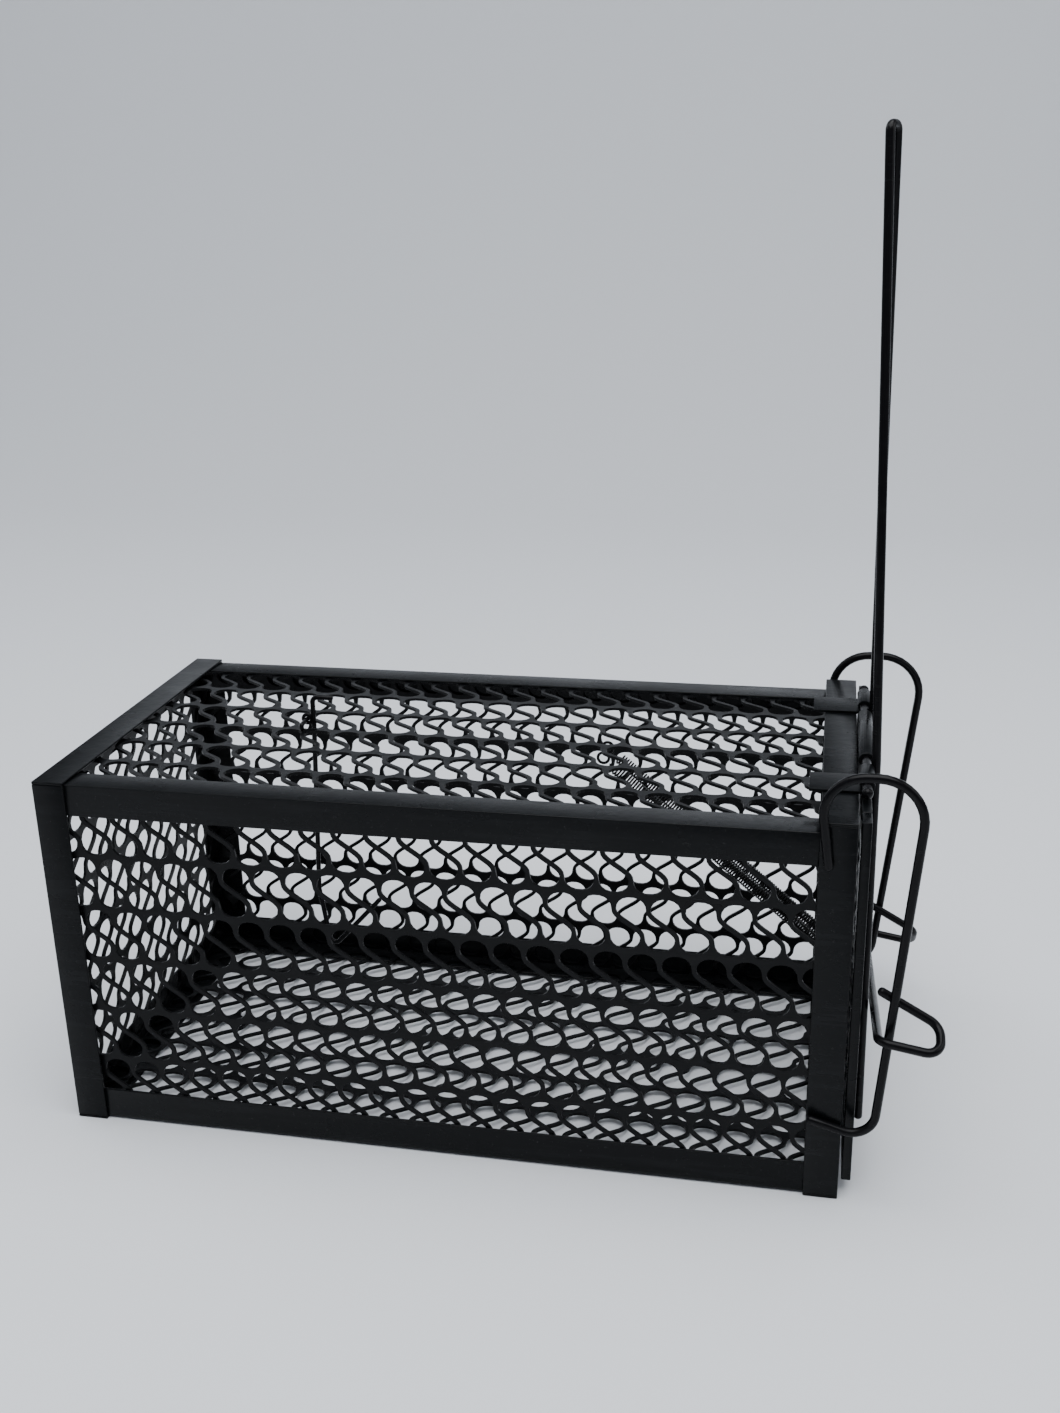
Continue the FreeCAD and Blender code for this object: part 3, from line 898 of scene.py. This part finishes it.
class TRAP_OT_springs(bpy.types.Operator):
    """Builds the two closing springs with their hooks"""
    bl_idname = "trap.springs"
    bl_label = "Closing springs"

    def execute(self, context):
        enamel_materials(context.scene)
        spring_group()
        for name, side in (("spring_near", -SPRING_SIDE), ("spring_far", SPRING_SIDE)):
            top = at(SPRING_TOP[0], side, SPRING_TOP[1])
            foot = at(SPRING_FOOT[0], side, SPRING_FOOT[1])
            piece = self.coil(name + "_coil", top, foot, context.scene.trap_wire)
            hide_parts(name)
            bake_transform(piece)
        return {"FINISHED"}

    def coil(self, name, top, foot, settings):
        run = foot - top
        hook = 3.2 * MM
        holder = bpy.data.objects.new("coil_work", bpy.data.meshes.new("coil_work"))
        bpy.context.scene.collection.objects.link(holder)
        modifier = holder.modifiers.new("coil", "NODES")
        modifier.node_group = bpy.data.node_groups["closing_spring"]
        set_inputs(modifier, {
            "Turns": float(settings.spring_turns),
            "Radius": settings.spring_radius,
            "Length": run.length - 2 * hook,
            "Wire": settings.spring_wire,
            "Material": bpy.data.materials["spring_finish"],
        })
        mesh = evaluated_copy(holder)
        bpy.data.objects.remove(holder)
        aim = Vector((0, 0, 1)).rotation_difference(run).to_matrix().to_4x4()
        begin = top + run.normalized() * hook
        mesh.transform(Matrix.Translation(begin) @ aim)
        work = bmesh.new()
        work.from_mesh(mesh)
        across = aim.to_3x3() @ Vector((1, 0, 0))
        axis = run.normalized()
        for end, out in ((top, -1), (foot, 1)):
            start = end - axis * out * hook + across * settings.spring_radius
            points = [
                start,
                end - axis * out * hook * 0.6,
                end - axis * out * 0.3 * MM,
            ]
            path = spaced(rounded_bend_points(points, [1.2 * MM], 5), 1 * MM)
            tube(work, path, settings.spring_wire / 2, 8)
        return add_object(name, finish_mesh(work, name), "spring_finish")


class TRAP_OT_stage(bpy.types.Operator):
    """Builds the floor, the soft lights and the camera"""
    bl_idname = "trap.stage"
    bl_label = "Stage"

    def execute(self, context):
        settings = context.scene.trap_stage
        self.floor(settings.floor)
        self.lights(context.scene)
        self.camera(context.scene, settings.lens)
        return {"FINISHED"}

    def floor(self, colour):
        work = bmesh.new()
        reach, back, rise, bend, steps = 4.0, 0.9, 3.2, 0.8, 24
        profile = [(-3.0, 0.0)]
        for k in range(steps + 1):
            turn = math.pi / 2 * k / steps
            profile.append((back + bend * math.sin(turn), bend - bend * math.cos(turn)))
        profile.append((back + bend, rise))
        rows = [[work.verts.new((x, y, z)) for x in (-reach, reach)] for y, z in profile]
        for low, high in zip(rows, rows[1:]):
            work.faces.new((low[0], low[1], high[1], high[0]))
        mesh = bpy.data.meshes.new("floor")
        work.to_mesh(mesh)
        work.free()
        for polygon in mesh.polygons:
            polygon.use_smooth = True
        material = bpy.data.materials.new("pale_floor")
        material.use_nodes = True
        shader = material.node_tree.nodes["Principled BSDF"]
        shader.inputs["Base Color"].default_value = (*colour, 1)
        shader.inputs["Roughness"].default_value = 0.6
        mesh.materials.append(material)
        floor = bpy.data.objects.new("floor", mesh)
        bpy.context.scene.collection.objects.link(floor)

    def lights(self, scene):
        lamps = (
            ("overhead", (0.1, -0.35, 1.5), (0.05, -0.25, 0.0), 1.5, 38.0, (0.955, 0.975, 1.0)),
            ("window", (-1.7, 0.5, 1.5), (0.0, 0.2, 0.1), 1.2, 12.0, (0.93, 0.96, 1.0)),
            ("side", (1.7, 0.1, 1.1), (0.0, 0.0, 0.1), 1.2, 9.0, (0.95, 0.97, 1.0)),
        )
        for name, place, target, size, power, colour in lamps:
            light = bpy.data.lights.new(name, "AREA")
            light.size = size
            light.energy = power
            light.color = colour
            lamp = bpy.data.objects.new(name, light)
            lamp.location = place
            aim = Vector(target) - Vector(place)
            lamp.rotation_euler = aim.to_track_quat("-Z", "Y").to_euler()
            scene.collection.objects.link(lamp)
        world = bpy.data.worlds.new("soft_room")
        world.use_nodes = True
        background = world.node_tree.nodes["Background"]
        background.inputs["Color"].default_value = (0.78, 0.85, 0.97, 1)
        background.inputs["Strength"].default_value = 0.24
        scene.world = world

    def camera(self, scene, lens):
        data = bpy.data.cameras.new("camera")
        data.sensor_fit = "HORIZONTAL"
        data.sensor_width = 36.0
        data.lens = lens
        data.clip_start = 0.01
        camera = bpy.data.objects.new("camera", data)
        aim = Vector((-0.1934, 0.9220, -0.3350))
        roll = math.radians(-1.25)
        turn = aim.to_track_quat("-Z", "Y").to_matrix() @ Matrix.Rotation(roll, 3, "Z")
        place = Matrix.Translation((REAR + 0.2522, -HALF - 0.4033, 0.3101))
        camera.matrix_world = place @ turn.to_4x4()
        scene.collection.objects.link(camera)
        scene.camera = camera


class TRAP_PT_panel(bpy.types.Panel):
    """Lists the trap's settings and build steps"""
    bl_idname = "TRAP_PT_panel"
    bl_label = "Live catch trap"
    bl_space_type = "VIEW_3D"
    bl_region_type = "UI"
    bl_category = "Trap"

    def draw(self, context):
        scene = context.scene
        for settings in (scene.trap_sheet, scene.trap_mesh, scene.trap_wire, scene.trap_stage):
            box = self.layout.box()
            for key in settings.__annotations__:
                box.prop(settings, key)
        for operator in OPERATORS:
            self.layout.operator(operator.bl_idname)


SETTINGS = (
    ("trap_sheet", TrapSheetSettings),
    ("trap_mesh", TrapMeshSettings),
    ("trap_wire", TrapWireSettings),
    ("trap_stage", TrapStageSettings),
)
OPERATORS = (
    TRAP_OT_sheet_parts,
    TRAP_OT_mesh_walls,
    TRAP_OT_wire_work,
    TRAP_OT_springs,
    TRAP_OT_stage,
)


def register():
    for name, settings in SETTINGS:
        bpy.utils.register_class(settings)
        setattr(bpy.types.Scene, name, bpy.props.PointerProperty(type=settings))
    for cls in (*OPERATORS, TRAP_PT_panel):
        bpy.utils.register_class(cls)


def unregister():
    for cls in reversed((*OPERATORS, TRAP_PT_panel)):
        bpy.utils.unregister_class(cls)
    for name, settings in reversed(SETTINGS):
        delattr(bpy.types.Scene, name)
        bpy.utils.unregister_class(settings)


def main():
    register()
    bpy.ops.trap.sheet_parts()
    bpy.ops.trap.mesh_walls()
    bpy.ops.trap.wire_work()
    bpy.ops.trap.springs()
    bpy.ops.trap.stage()


if __name__ == "__main__":
    main()
